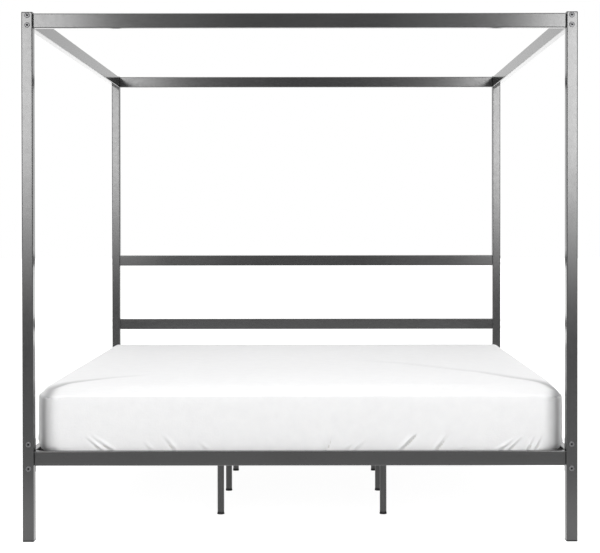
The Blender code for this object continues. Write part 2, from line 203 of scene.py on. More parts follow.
class Finish:
    """A node material under construction, read in Object coordinates."""

    def __init__(self, name, **values):
        self.material = bpy.data.materials.new(name)
        self.material.use_nodes = True
        self.tree = self.material.node_tree
        self.shader = self.tree.nodes["Principled BSDF"]
        self.place = self.add("ShaderNodeTexCoord").outputs["Object"]
        for socket, value in values.items():
            self.shader.inputs[socket.replace("_", " ")].default_value = value

    def add(self, kind, inputs=None, **settings):
        return new_node(self.tree, kind, inputs, **settings)

    def noise(self, scale, detail=2.0, roughness=0.5):
        values = {"Vector": self.place, "Scale": scale, "Detail": detail,
                  "Roughness": roughness}
        return self.add("ShaderNodeTexNoise", values).outputs["Fac"]

    def mark(self, name):
        """The piece's own attribute, from 0 to 1."""
        return self.add("ShaderNodeAttribute", attribute_name=name).outputs["Fac"]

    def spread(self, source, low, high, start=0.3, end=0.7):
        """Turns the range from start to end, a noise's middle if not given, into low to high."""
        values = {"Value": source, "From Min": start, "From Max": end, "To Min": low,
                  "To Max": high}
        return self.add("ShaderNodeMapRange", values).outputs["Result"]

    def blend(self, factor, first, second):
        """A colour between two, each a socket or a colour; inputs 6 and 7 are the colours."""
        values = {"Factor": factor}
        for key, colour in ((6, first), (7, second)):
            values[key] = (*colour, 1) if isinstance(colour, tuple) else colour
        return self.add("ShaderNodeMix", values, data_type="RGBA").outputs[2]

    def bump(self, height, strength, distance, under=None):
        values = {"Height": height, "Strength": strength, "Distance": distance}
        if under is not None:
            values["Normal"] = under
        return self.add("ShaderNodeBump", values).outputs["Normal"]

    def set(self, socket, source):
        self.tree.links.new(source, self.shader.inputs[socket])


def powder_coat(name, dark, light, roughness, peel):
    """Baked powder paint: faint orange peel, slight drift of tone and of gloss."""
    coat = Finish(name, IOR=PAINT_IOR)
    drift = coat.noise(5.0, 3.0)
    coat.set("Base Color", coat.blend(coat.spread(drift, 0.0, 1.0), dark, light))
    gloss = coat.noise(60.0, 3.0)
    coat.set("Roughness", coat.spread(gloss, roughness - 0.015, roughness + 0.02))
    grain = coat.bump(coat.noise(1400.0, 1.0), 0.1, 0.0001)
    coat.set("Normal", coat.bump(coat.noise(420.0, 2.0), peel, 0.0003, grain))
    return coat.material


def moulded_plastic():
    """Matt black plastic with the fine grain of its mould."""
    plastic = Finish("black_moulded_plastic", IOR=1.49)
    tone = plastic.spread(plastic.noise(90.0), 0.0, 1.0)
    plastic.set("Base Color", plastic.blend(tone, (0.014, 0.014, 0.015), (0.022, 0.022, 0.023)))
    plastic.set("Roughness", plastic.spread(plastic.noise(240.0), 0.42, 0.55))
    plastic.set("Normal", plastic.bump(plastic.noise(1800.0, 1.0), 0.25, 0.0002))
    return plastic.material


def bolt_steel(name, dark, light, roughness, metal):
    """Plated steel: a little uneven plating, and painted shade down in the driver's recess: black,
    with no metal and no gloss.
    """
    steel = Finish(name, IOR=1.6)
    plating = steel.noise(300.0, 4.0)
    plated = steel.blend(steel.spread(plating, 0.0, 1.0), dark, light)
    recess = steel.mark("recess")
    # Painted shade in the recess: black, with no metal and no gloss
    steel.set("Base Color", steel.blend(recess, plated, RECESS_PAINTED_SHADE))
    steel.set("Metallic", steel.spread(recess, metal, 0.0, 0.0, 1.0))
    steel.set("Specular IOR Level", steel.spread(recess, PLAIN_SPECULAR, 0.0, 0.0, 1.0))
    steel.set("Roughness", steel.spread(steel.noise(700.0), roughness - 0.06, roughness + 0.08))
    steel.set("Normal", steel.bump(steel.noise(2600.0, 2.0), 0.12, 0.0001))
    return steel.material


def woven_cotton():
    """Plain-woven sheeting: crossing threads on the piece's own UV, and soft slubs.

    It has painted shade where the piece's mark says: darker down in the creases near the top and in
    a band down each corner of the skirt."""
    cotton = Finish("white_cotton_sheeting", Roughness=0.88, Sheen_Weight=0.12,
                    Sheen_Roughness=0.5, IOR=1.45)
    uv = cotton.add("ShaderNodeUVMap", uv_map="cloth").outputs["UV"]
    threads = []
    for direction in ("X", "Y"):
        values = {"Vector": uv, "Scale": THREADS, "Distortion": 1.2, "Detail": 1.0,
                  "Detail Scale": 0.6}
        wave = cotton.add("ShaderNodeTexWave", values, wave_type="BANDS",
                          bands_direction=direction)
        threads.append(wave.outputs["Fac"])
    weave = cotton.add("ShaderNodeMath", {0: threads[0], 1: threads[1]}, operation="ADD")
    slub = cotton.noise(170.0, 3.0, 0.6)
    tone = cotton.spread(cotton.noise(28.0, 4.0), 0.0, 1.0)
    flat = cotton.blend(tone, *COTTON_TONES)
    # Painted shade: darker where the piece's mark is, in the creases and round the corners
    cotton.set("Base Color", cotton.blend(cotton.mark("painted_shade"), flat, COTTON_PAINTED_SHADE))
    fine = cotton.bump(weave.outputs[0], 0.25, 0.0002)
    slubbed = cotton.bump(slub, 0.5, 0.0010, fine)
    cotton.set("Normal", cotton.bump(cotton.noise(55.0, 3.0), 0.3, 0.0012, slubbed))
    return cotton.material


def knitted_ticking():
    """The mattress's cover: off-white knit with a small raised pattern."""
    ticking = Finish("mattress_ticking_knit", Roughness=0.92, Sheen_Weight=0.2)
    cells = ticking.add("ShaderNodeTexVoronoi", {"Vector": ticking.place, "Scale": 130.0})
    tone = ticking.spread(cells.outputs["Distance"], 0.0, 1.0, 0.1, 0.6)
    ticking.set("Base Color", ticking.blend(tone, (0.78, 0.77, 0.74), (0.66, 0.65, 0.62)))
    loops = ticking.bump(ticking.noise(900.0, 2.0), 0.3, 0.0003)
    ticking.set("Normal", ticking.bump(cells.outputs["Distance"], 0.5, 0.0012, loops))
    return ticking.material


GRAPHITE = powder_coat("graphite_powder_coat_paint", (0.021, 0.021, 0.0215),
                       (0.027, 0.027, 0.0275), 0.15, 0.04)
WELD = powder_coat("graphite_painted_weld", (0.036, 0.036, 0.0365), (0.045, 0.045, 0.0455),
                   0.32, 0.5)
BLACK_COAT = powder_coat("black_powder_coat_paint", (0.016, 0.016, 0.016),
                         (0.022, 0.022, 0.0225), 0.4, 0.12)
PLASTIC = moulded_plastic()
CAP = powder_coat("graphite_cap_plastic", (0.021, 0.021, 0.0215), (0.027, 0.027, 0.0275),
                  0.2, 0.03)
BOLT = bolt_steel("grey_plated_bolt", (0.12, 0.12, 0.125), (0.17, 0.17, 0.175), 0.26, 0.5)
ZINC = bolt_steel("bright_zinc_screw", (0.62, 0.62, 0.63), (0.75, 0.75, 0.76), 0.24, 1.0)
COTTON = woven_cotton()
TICKING = knitted_ticking()


# ---------------------------------------------------------------- posts and their plastic ends

def make_post(end, side):
    """A post: a square tube, open at both ends."""
    node = f"post_{end}_{side}"
    low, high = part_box(node)
    size = high.x - low.x
    outer = tube_outline(size, size, CORNER_RADIUS)
    lip = tube_outline(size - 2 * CUT_BEVEL, size - 2 * CUT_BEVEL, CORNER_RADIUS - CUT_BEVEL)
    bore = tube_outline(size - 2 * POST_WALL, size - 2 * POST_WALL, CORNER_RADIUS - POST_WALL)
    mesh = bmesh.new()
    rings = ((low.z, bore), (low.z, lip), (low.z + CUT_BEVEL, outer),
             (high.z - CUT_BEVEL, outer), (high.z, lip), (high.z, bore))
    loft(mesh, "Z", rings, middle_in_plan(low, high), loop=True)
    return finish_piece(f"{node}_tube", mesh, GRAPHITE, FRAME_BODY,
                        [node])


def make_post_end(kind, end, side):
    """The cap on a post or the glide under it: a thin moulded plate with a pillowed face."""
    node = f"{kind}_{end}_{side}"
    low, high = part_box(node)
    size = high.x - low.x
    post_low, post_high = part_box(f"post_{end}_{side}")
    if kind == "post_cap":
        face, seat, tip, finish = high.z, post_high.z + SEAT_GAP, low.z, CAP
    else:
        face, seat, tip, finish = low.z, post_low.z - SEAT_GAP, high.z, PLASTIC
    rounding = CAP_ROUNDING if face > seat else -CAP_ROUNDING
    plate = tube_outline(size, size, CORNER_RADIUS)
    plug = tube_outline(size - CAP_PLAY, size - CAP_PLAY, CORNER_RADIUS / 2)
    rings = [(tip, plug), (seat, plug), (seat, plate), (face - rounding, plate)]
    for turn in (30, 60, 90):
        angle = math.radians(turn)
        inset = CAP_ROUNDING * (1 - math.cos(angle))
        rings.append((face - rounding * (1 - math.sin(angle)),
                      tube_outline(size - 2 * inset, size - 2 * inset, CORNER_RADIUS - inset)))
    mesh = bmesh.new()
    loft(mesh, "Z", rings, middle_in_plan(low, high))
    return finish_piece(f"{node}_moulding", mesh, finish, FRAME_BODY, [node])


# ---------------------------------------------------------------- rails

def rail_surface(mesh, axis, low, high, centre, width, height):
    """A closed rail with a sawn, softened end and a smaller pad that bears on the post."""
    outer = tube_outline(width, height, CORNER_RADIUS)
    lip = tube_outline(width - 2 * CUT_BEVEL, height - 2 * CUT_BEVEL, CORNER_RADIUS - CUT_BEVEL)
    pad = tube_outline(width - 2 * PAD_INSET, height - 2 * PAD_INSET, CORNER_RADIUS / 2)
    rings = ((low, pad), (low + PAD_PROUD, pad), (low + PAD_PROUD, lip),
             (low + PAD_PROUD + CUT_BEVEL, outer), (high - PAD_PROUD - CUT_BEVEL, outer),
             (high - PAD_PROUD, lip), (high - PAD_PROUD, pad), (high, pad))
    loft(mesh, axis, rings, centre)


def make_rail(node):
    """Any straight rail that ends in pads; its box says which way it runs."""
    low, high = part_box(node)
    middle, size = (low + high) / 2, high - low
    mesh = bmesh.new()
    if size.x > size.y:
        rail_surface(mesh, "X", low.x, high.x, (middle.y, middle.z), size.y, size.z)
    else:
        rail_surface(mesh, "Y", low.y, high.y, (middle.x, middle.z), size.x, size.z)
    return finish_piece(f"{node}_tube", mesh, GRAPHITE, FRAME_BODY,
                        [node])


def make_side_rail(side):
    """A base side rail with its bolting plates and its slat ledge."""
    node = f"side_rail_{side}"
    sign = SIDES[side]
    low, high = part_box(node)
    foot_low, foot_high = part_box("base_rail_foot")
    post_low, post_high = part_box(f"post_foot_{side}")
    inner, plate_edge = (post_high.x, post_low.x) if sign < 0 else (post_low.x, post_high.x)
    outer = inner + sign * RAIL_THICKNESS
    middle_z = (foot_low.z + foot_high.z) / 2
    mesh = bmesh.new()
    tube = tube_outline(RAIL_THICKNESS, RAIL_HEIGHT, CORNER_RADIUS)
    start = low.y + PLATE_THICKNESS - WELD_OVERLAP
    stop = high.y - PLATE_THICKNESS + WELD_OVERLAP
    loft(mesh, "Y", ((start, tube), (stop, tube)), ((inner + outer) / 2, middle_z))
    across = sorted((inner, plate_edge))
    for edge, inward in ((low.y, 1), (high.y, -1)):
        reach = sorted((edge, edge + inward * PLATE_THICKNESS))
        block(mesh, (across[0], reach[0], low.z), (across[1], reach[1], high.z))
    ledge_x = sorted((inner + sign * WELD_OVERLAP, inner - sign * LEDGE_WIDTH))
    ledge_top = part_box("slat_01")[0].z - SEAT_GAP
    block(mesh, (ledge_x[0], low.y + 2 * PLATE_THICKNESS, ledge_top - LEDGE_THICKNESS),
          (ledge_x[1], high.y - 2 * PLATE_THICKNESS, ledge_top))
    return finish_piece(f"{node}_welded", mesh, GRAPHITE, FRAME_BODY,
                        [node])


# ---------------------------------------------------------------- legs and feet

def turned_piece(name, corners, material, body, node):
    """A turned piece in place of a node, about the upright axis of the node's box."""
    mesh = bmesh.new()
    rings = [(height, round_outline(radius, TURNED_SIDES))
             for radius, height in rounded_profile(corners)]
    loft(mesh, "Z", rings, middle_in_plan(*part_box(node)))
    return finish_piece(name, mesh, material, body, [node])


def rounded_profile(corners):
    """Replaces each (radius, height, rounding) corner by a short arc of points."""
    points = []
    for index, (radius, height, rounding) in enumerate(corners):
        here = Vector((radius, height))
        if rounding == 0 or index in (0, len(corners) - 1):
            points.append((radius, height))
            continue
        before = (Vector(corners[index - 1][:2]) - here).normalized() * rounding
        after = (Vector(corners[index + 1][:2]) - here).normalized() * rounding
        for step in range(5):
            t = step / 4
            p = here + before * (1 - t) ** 2 + after * t ** 2
            points.append((p.x, p.y))
    return points


def make_leg(row, side):
    """A round support leg: bored for the foot's stem below, with a pin up into its slat."""
    node = f"support_leg_{row}_{side}"
    low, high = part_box(node)
    radius = (high.x - low.x) / 2
    bore = STEM_RADIUS + SEAT_GAP
    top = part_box("slat_04")[0].z - SEAT_GAP
    corners = ((bore, low.z + 0.006, 0), (bore, low.z, 0), (radius - 0.0014, low.z, 0),
               (radius, low.z + 0.0002, 0.0001), (radius, top - 0.006, 0.0004),
               (radius, top, 0.0008), (STEM_RADIUS, top, 0), (STEM_RADIUS, high.z, 0))
    return turned_piece(f"{node}_tube", corners, BLACK_COAT, FRAME_BODY,
                        node)


def make_foot(row, side):
    """A flared foot: soft rim, waisted neck, shoulder, and its threaded stem."""
    node = f"levelling_foot_{row}_{side}"
    low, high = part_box(node)
    rim = (high.x - low.x) / 2
    shoulder = low.z + FOOT_HEIGHT
    corners = [(rim * 0.55, low.z + 0.0008, 0), (rim * 0.6, low.z, 0.0004),
               (rim - 0.0006, low.z, 0.0008), (rim, low.z + 0.003, 0.0008),
               (rim - 0.0011, low.z + 0.0055, 0.001), (rim - 0.0012, shoulder, 0.0012),
               (0.0046, shoulder, 0), (STEM_RADIUS, shoulder + 0.0002, 0)]
    threads = int((high.z - shoulder - 0.0012) / THREAD_PITCH)
    for turn in range(threads):
        base = shoulder + 0.0006 + turn * THREAD_PITCH
        corners += [(STEM_ROOT, base, 0), (STEM_RADIUS, base + THREAD_PITCH / 2, 0)]
    corners.append((STEM_ROOT - 0.0002, high.z, 0))
    return turned_piece(f"{node}_moulding", corners, PLASTIC, f"foot_{row}_{side}",
                        node)


# ---------------------------------------------------------------- Geometry Nodes

FASTENER_SHARPNESS = 28     # degrees between two faces past which their edge stays sharp


class Graph:
    """A small Geometry Nodes tree under construction, with named inputs."""

    def __init__(self, name):
        self.tree = bpy.data.node_groups.new(name, "GeometryNodeTree")
        for way in ("INPUT", "OUTPUT"):
            self.tree.interface.new_socket("Geometry", in_out=way,
                                           socket_type="NodeSocketGeometry")
        self.source = self.tree.nodes.new("NodeGroupInput")
        self.sink = self.tree.nodes.new("NodeGroupOutput")
        self.names = {}

    def input(self, name, kind):
        """Adds a named input and returns it as a socket to link from."""
        socket = self.tree.interface.new_socket(name, in_out="INPUT", socket_type=kind)
        self.names[name] = socket.identifier
        return self.source.outputs[name]

    def add(self, kind, inputs=None, **settings):
        return new_node(self.tree, kind, inputs, **settings)

    def close(self, geometry, material):
        """Ends the tree with plain faces and one material."""
        plain = self.add("GeometryNodeRealizeInstances", {"Geometry": geometry})
        painted = self.add("GeometryNodeSetMaterial",
                           {"Geometry": plain.outputs["Geometry"], "Material": material})
        self.tree.links.new(painted.outputs["Geometry"], self.sink.inputs[0])

    def run(self, name, start, values):
        """Runs the tree on a start mesh and returns the result as a plain object."""
        holder = bpy.data.objects.new(name, start)
        bpy.context.scene.collection.objects.link(holder)
        modifier = holder.modifiers.new("make", "NODES")
        modifier.node_group = self.tree
        for key, value in values.items():
            modifier[self.names[key]] = value
        bpy.context.view_layer.update()
        result = holder.evaluated_get(bpy.context.evaluated_depsgraph_get())
        data = bpy.data.meshes.new_from_object(result)
        bpy.data.objects.remove(holder)
        data.name = name
        piece = bpy.data.objects.new(name, data)
        bpy.context.scene.collection.objects.link(piece)
        return piece


def fastener_graph():
    """Copies one fastener to every point, its head along the point's `facing`."""
    graph = Graph("fasteners_on_points")
    fastener = graph.input("Fastener", "NodeSocketObject")
    material = graph.input("Material", "NodeSocketMaterial")
    size = graph.input("Size", "NodeSocketFloat")
    shape = graph.add("GeometryNodeObjectInfo", {"Object": fastener})
    facing = graph.add("GeometryNodeInputNamedAttribute", {"Name": "facing"},
                       data_type="FLOAT_VECTOR")
    turn = graph.add("FunctionNodeAlignRotationToVector",
                     {"Vector": facing.outputs["Attribute"]}, axis="Z")
    copies = graph.add("GeometryNodeInstanceOnPoints",
                       {"Points": graph.source.outputs["Geometry"],
                        "Instance": shape.outputs["Geometry"],
                        "Rotation": turn.outputs["Rotation"], "Scale": size})
    graph.close(copies.outputs["Instances"], material)
    return graph


def points_mesh(name, places):
    """A mesh of loose points, each (place, direction its head faces)."""
    data = bpy.data.meshes.new(name)
    data.from_pydata([tuple(place) for place, _ in places], [], [])
    facing = data.attributes.new("facing", "FLOAT_VECTOR", "POINT")
    for item, (_, direction) in zip(facing.data, places):
        item.vector = direction
    return data


def hexagon(radius, sides):
    """A hexagon drawn with `sides` points, so that it bridges to a circle."""
    points = []
    for i in range(sides):
        angle = 2 * math.pi * i / sides
        off = (angle % (math.pi / 3)) - math.pi / 6
        reach = radius * math.cos(math.pi / 6) / math.cos(off)
        points.append((reach * math.cos(angle), reach * math.sin(angle)))
    return points


def template(name, profile, sides=24, recess_rings=0):
    """A hidden fastener along +Z; a profile entry is (radius, height, is it hexagonal).

    The first rings of the profile are marked as its recess."""
    mesh = bmesh.new()
    rings = []
    for radius, height, hexagonal in profile:
        outline = hexagon(radius, sides) if hexagonal else round_outline(radius, sides)
        rings.append((height, outline))
    loft(mesh, "Z", rings)
    data = bpy.data.meshes.new(name)
    mesh.to_mesh(data)
    mesh.free()
    data.shade_smooth()
    data.set_sharp_from_angle(angle=math.radians(FASTENER_SHARPNESS))
    recess = data.attributes.new("recess", "FLOAT", "POINT")
    for item in recess.data[:recess_rings * sides]:
        item.value = 1.0
    return bpy.data.objects.new(name, data)


def low_head_bolt():
    """Flat furniture bolt: thin round head with a soft edge and a hexagon socket."""
    head, thick, shank, length = 0.0093, 0.0015, 0.004, 0.047
    return template("low_head_bolt", (
        (0.0034, thick - 0.0012, True), (0.0036, thick - 0.0003, True),
        (0.0039, thick, True), (0.0050, thick, False), (head - 0.0022, thick, False),
        (head - 0.0012, thick - 0.0002, False), (head - 0.0004, thick - 0.0006, False),
        (head, thick - 0.0011, False), (head, 0.0, False), (shank, 0.0, False),
        (shank, -length + 0.001, False), (shank - 0.001, -length, False)),
        sides=36, recess_rings=2)


def slat_screw():
    """Small pan-head screw with a hexagon recess."""
    return template("slat_screw", (
        (0.0012, 0.0010, True), (0.0012, 0.0022, True), (0.0022, 0.0024, False),
        (0.0034, 0.0020, False), (0.0040, 0.0012, False), (0.0041, 0.0, False),
        (0.0019, 0.0, False), (0.0019, -0.014, False)))


def weld_nut():
    """Hexagon nut welded behind a plate."""
    return template("weld_nut", (
        (0.0041, 0.0, False), (0.0070, 0.0, True), (0.0075, 0.0008, True),
        (0.0075, 0.0058, True), (0.0070, 0.0066, True), (0.0041, 0.0066, False)))


FASTENERS = fastener_graph()


def place_fasteners(name, shape, places, material, body, nodes=()):
    """Puts one kind of fastener at every place, as one plain mesh."""
    values = {"Fastener": shape, "Material": material, "Size": 1.0}
    piece = FASTENERS.run(name, points_mesh(f"{name}_points", places), values)
    return mount_piece(piece, body, nodes)


# ---------------------------------------------------------------- bolts and screws

BOLT_INSET = 0.0205         # from a post's face to the bolts that run along it
RAIL_BOLT_OFFSET = 0.0165   # of a rail's two bolts from its middle
SIDE_BOLT_HEIGHTS = (0.250, 0.333)
SCREW_INSET = 0.0085        # of a slat's screws from its ends


def rail_bolt_heights(node):
    """Heights of the two bolts in a rail's end."""
    low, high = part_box(node)
    middle = (low.z + high.z) / 2
    return (middle - RAIL_BOLT_OFFSET, middle + RAIL_BOLT_OFFSET)


def post_faces(end, side):
    """The outer X and Y faces of a post, and the bolts' axes behind them."""
    low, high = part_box(f"post_{end}_{side}")
    face_x = low.x if SIDES[side] < 0 else high.x
    face_y = low.y if ENDS[end] < 0 else high.y
    return face_x, face_y, face_x - SIDES[side] * BOLT_INSET, face_y - ENDS[end] * BOLT_INSET


def bolt_places(end, side, heights_y, heights_x):
    """Bolts along Y and along X through a post, each (place, direction its head faces)."""
    face_x, face_y, axis_x, axis_y = post_faces(end, side)
    places = []
    for height in heights_y:
        place = Vector((axis_x, face_y + ENDS[end] * SEAT_GAP, height))
        places.append((place, (0, ENDS[end], 0)))
    for height in heights_x:
        place = Vector((face_x + SIDES[side] * SEAT_GAP, axis_y, height))
        places.append((place, (SIDES[side], 0, 0)))
    return places


def make_bolts():
    """Each post's bolts, one set for each of its bolt nodes."""
    bolt = low_head_bolt()
    canopy_y = rail_bolt_heights("canopy_rail_foot")
    canopy_x = (sum(canopy_y) / 2,)
    base_x = rail_bolt_heights("base_rail_foot")
    board_x = rail_bolt_heights("headboard_rail_upper") + rail_bolt_heights("headboard_rail_lower")
    for side in SIDES:
        sets = (
            ("canopy_bolts_foot", "foot", canopy_y, canopy_x),
            ("base_bolts_foot", "foot", SIDE_BOLT_HEIGHTS, base_x),
            ("post_bolts_head", "head", SIDE_BOLT_HEIGHTS + canopy_y,
             base_x + board_x + canopy_x),
        )
        for prefix, end, heights_y, heights_x in sets:
            node = f"{prefix}_{side}"
            places = bolt_places(end, side, heights_y, heights_x)
            place_fasteners(f"{node}_heads", bolt, places, BOLT,
                            FRAME_BODY, [node])


def make_plate_nuts():
    """A weld nut behind each bolting plate, for the bolt above the side rail."""
    places = []
    for side in SIDES:
        for end in ENDS:
            axis_x = post_faces(end, side)[2]
            low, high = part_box(f"side_rail_{side}")
            plate = low.y + PLATE_THICKNESS if ENDS[end] < 0 else high.y - PLATE_THICKNESS
            places.append((Vector((axis_x, plate, SIDE_BOLT_HEIGHTS[1])), (0, -ENDS[end], 0)))
    place_fasteners("side_plate_weld_nuts", weld_nut(), places, WELD,
                    FRAME_BODY)


def make_slat_screws():
    """One bright screw in each end of each slat, down into the ledge."""
    places = []
    for node in SLAT_NODES:
        low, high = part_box(node)
        for sign in SIDES.values():
            edge = sign * (high.x - SCREW_INSET)
            places.append((Vector((edge, (low.y + high.y) / 2, high.z)), (0, 0, 1)))
    place_fasteners("slat_end_screws", slat_screw(), places, ZINC, FRAME_BODY)


# ---------------------------------------------------------------- slats

def slat_graph():
    """A row of hollow rectangular tubes across the bed, evenly spaced from Start to Stop."""
    graph = Graph("row_of_slats")
    count = graph.input("Count", "NodeSocketInt")
    start = graph.input("Start", "NodeSocketVector")
    stop = graph.input("Stop", "NodeSocketVector")
    length = graph.input("Length", "NodeSocketFloat")
    width = graph.input("Width", "NodeSocketFloat")
    height = graph.input("Height", "NodeSocketFloat")
    wall = graph.input("Wall", "NodeSocketFloat")
    corner = graph.input("Corner", "NodeSocketFloat")
    material = graph.input("Material", "NodeSocketMaterial")
    half = graph.add("ShaderNodeMath", {0: length, 1: 0.5}, operation="MULTIPLY").outputs[0]
    minus = graph.add("ShaderNodeMath", {0: half, 1: -1.0}, operation="MULTIPLY").outputs[0]
    ends = [graph.add("ShaderNodeCombineXYZ", {"X": x}).outputs[0] for x in (minus, half)]
    line = graph.add("GeometryNodeCurvePrimitiveLine", {"Start": ends[0], "End": ends[1]})
    section = graph.add("GeometryNodeCurvePrimitiveQuadrilateral",
                        {"Width": height, "Height": width}, mode="RECTANGLE")
    rounded = graph.add("GeometryNodeFilletCurve",
                        {"Curve": section.outputs["Curve"], "Radius": corner, "Count": 5},
                        mode="POLY")
    skin = graph.add("GeometryNodeCurveToMesh",
                     {"Curve": line.outputs["Curve"], "Profile Curve": rounded.outputs["Curve"]})
    walled = graph.add("GeometryNodeExtrudeMesh",
                       {"Mesh": skin.outputs["Mesh"], "Offset Scale": wall, "Individual": False},
                       mode="FACES")
    flat = graph.add("GeometryNodeSetShadeSmooth",
                     {"Geometry": walled.outputs["Mesh"], "Shade Smooth": False})
    row = graph.add("GeometryNodeMeshLine",
                    {"Count": count, "Start Location": start, "Offset": stop}, mode="END_POINTS")
    copies = graph.add("GeometryNodeInstanceOnPoints",
                       {"Points": row.outputs["Mesh"], "Instance": flat.outputs["Geometry"]})
    graph.close(copies.outputs["Instances"], material)
    return graph


def make_slats():
    """All slats as one piece, from a Geometry Nodes row of hollow tubes."""
    first_low, first_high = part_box(SLAT_NODES[0])
    last_low, last_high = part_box(SLAT_NODES[-1])
    size = first_high - first_low
    slats = slat_graph().run("steel_slats", bpy.data.meshes.new("slat_start"), {
        "Count": len(SLAT_NODES),
        "Start": (first_low + first_high) / 2,
        "Stop": (last_low + last_high) / 2,
        "Length": size.x,
        "Width": size.y - 2 * SLAT_WALL,
        "Height": size.z - 2 * SLAT_WALL,
        "Wall": SLAT_WALL,
        "Corner": SLAT_CORNER,
        "Material": BLACK_COAT,
    })
    mesh = bmesh.new()
    mesh.from_mesh(slats.data)
    bmesh.ops.recalc_face_normals(mesh, faces=mesh.faces)
    mesh.to_mesh(slats.data)
    mesh.free()
    return mount_piece(slats, FRAME_BODY, SLAT_NODES)


# ---------------------------------------------------------------- mattress and fitted sheet

# Steps of the top's grid, and how far from the corners it stays fine
SHEET_GRID = (0.010, 0.025, 0.012, 0.030)       # fine and coarse across, fine and coarse along
MATTRESS_GRID = (0.015, 0.035, 0.018, 0.040)
FINE_ACROSS = 0.26
FINE_AT_FOOT = 0.58
FINE_AT_HEAD = 0.10

# Rows of faces down the side
MARGIN_ROWS = 6
MARGIN_DOUBLING = 3         # the row from which the margin has twice as many faces
TOP_TURN_ROWS = 5
SHEET_ROWS = (5, 12)        # above the gathers, and among them
MATTRESS_ROWS = (6, 4)
LOW_TURN_STEP = math.pi / 10        # about how far each row turns round the lower edge

# Outline
PLAN_CORNER = 0.092         # radius of its corners as seen from above
INNER_MARGIN = 0.060        # from the mattress's edge to the plain grid on its top
SIDE_BULGE = 0.0165         # the soft sides swell this far past the nominal width
TOP_SINK = 0.0045           # how far the top lies under the nominal height
TOP_TILT = 0.0022           # rise towards the head, in metres a metre
FOOT_FALL = (0.0155, 0.22, 1.15)    # drop at the edge, over which length, and its curve
HEAD_FALL = (0.0135, 0.16, 1.2)
SIDE_FALL = (0.0020, 0.10, 2.0)
SIDE_TUCK = 0.0012          # how far the sides draw in above and below their middle

# Rounding of the top edge and of the lower edge, in the middle of each side and at its corners
EDGE_RADII = {"foot": (0.004, 0.008), "head": (0.012, 0.020),
              "left": (0.016, 0.045), "right": (0.016, 0.045)}
CORNER_RADII = (0.011, 0.030)
CORNER_REACH = 0.05         # length over which one rounding turns into the other

# Cloth
CLOTH = 0.0007              # thickness
UNDER_SHEET = 0.0028        # how far the mattress's cover lies inside the sheet
SHEET_TURN = math.radians(62)       # how far the sheet turns under the lower edge
TICKING_LIFT = 0.0002       # of the cover's base off the underside of the mattress's box
BASE_INSET = 0.05           # width of the band of faces round the base

# Gathers: soft folds, each a ridge with a hollow beside it
GATHER_SEED = 7
GATHER_BAND = 0.070         # height over the lower edge in which the gathers lie
GATHER_DEPTH = 0.0056       # how far out a usual gather stands
GATHER_REACH = 1.2          # length of a gather, as a share of its height and lean
GATHER_SPAN = 0.16          # past this distance along the side a gather has no effect
GATHER_FOOT = 0.012         # height over the lower edge at which a gather's line starts
GATHER_PEAK = (0.35, 0.75)  # where along it a gather is deepest, and how far it then fades
GATHER_TAPER = 1.2          # curve of that fading
USUAL_GATHER = 0.04         # height of a gather of the full depth
DEEPEST_GATHER = 1.3        # of the full depth
HOLLOW_SHARE = 0.8          # depth of the hollow, as a share of the ridge's height
FOLD_WIDTH = 0.0050         # of the ridge, and of the hollow
FOLD_OFFSET = 0.0080        # of the hollow from the ridge

# Gathers of the other sides, drawn at random between two limits
OTHER_HEIGHTS = (0.02, 0.055)
OTHER_LEANS = (0.6, 1.4)    # as a share of the height
OTHER_GAPS = (0.05, 0.22)   # multiplied by OTHER_SPREAD in the middle, and by less outwards
OTHER_SPREAD = 1.3
OTHER_MARGIN = 0.08         # none lies nearer than this to a corner

# Creases, and the painted shade marked in them and round the corners
CREASE_WIDTH = 0.020
CREASE_SPAN = 0.06          # past this distance a crease has no effect
EDGE_BAND = 0.026           # how far down from the top the creases get painted shade
DEEPEST_CREASE = 0.0080     # the crease depth that gets the full painted shade
CORNER_PAINTED_SHADE = (math.radians(43), 0.013, 0.50)   # painted shade down each corner: how far round it, width, strength
FLAT_ENOUGH = 0.7           # upward share of a normal past which cloth counts as lying flat

# Creases pulled from near the foot corners, as (x, y, depth) on the way towards the middle
CREASES = (
    ((-0.876, -0.980, 0.0066), (-0.886, -0.850, 0.0060), (-0.858, -0.728, 0.0048),
     (-0.815, -0.663, 0.0040), (-0.725, -0.560, 0.0022), (-0.582, -0.457, 0.0)),
    ((0.888, -0.975, 0.0080), (0.905, -0.880, 0.0080), (0.896, -0.780, 0.0068),
     (0.882, -0.693, 0.0052), (0.847, -0.625, 0.0042), (0.796, -0.549, 0.0034),
     (0.692, -0.358, 0.0022), (0.624, -0.290, 0.0016), (0.401, -0.020, 0.0010),
     (0.196, 0.100, 0.0)),
)

# Gathers along the foot of the sheet: (place across, height, lean towards the corner), metres
FOOT_GATHERS = (
    (-0.690, 0.040, 0.050), (-0.650, 0.042, 0.066), (-0.518, 0.025, 0.022),
    (-0.434, 0.044, 0.036), (-0.320, 0.026, 0.028), (0.086, 0.050, 0.018),
    (0.152, 0.024, 0.028), (0.182, 0.030, 0.038), (0.345, 0.082, 0.084),
    (0.470, 0.056, 0.046), (0.546, 0.018, 0.034), (0.690, 0.036, 0.058),
    (0.724, 0.040, 0.046), (0.793, 0.040, 0.024), (0.820, 0.040, 0.022),
)


def other_gathers(generator, half_length):
    """Gathers like those at the foot, at places of their own, for another side."""
    gathers = []
    reach = half_length - OTHER_MARGIN
    place = -reach
    while place < reach:
        height = generator.uniform(*OTHER_HEIGHTS)
        gathers.append((place, height, height * generator.uniform(*OTHER_LEANS)))
        nearness = abs(place) / half_length
        place += generator.uniform(*OTHER_GAPS) * (OTHER_SPREAD - nearness)
    return gathers


def smooth_step(value, start, end):
    """0 before start, 1 past end, smooth between."""
    share = min(max((value - start) / (end - start), 0.0), 1.0)
    return share * share * (3 - 2 * share)


def fall(distance, drop, length, curve):
    """How far the top has dropped at a distance from an edge."""
    return drop * max(1 - distance / length, 0.0) ** curve


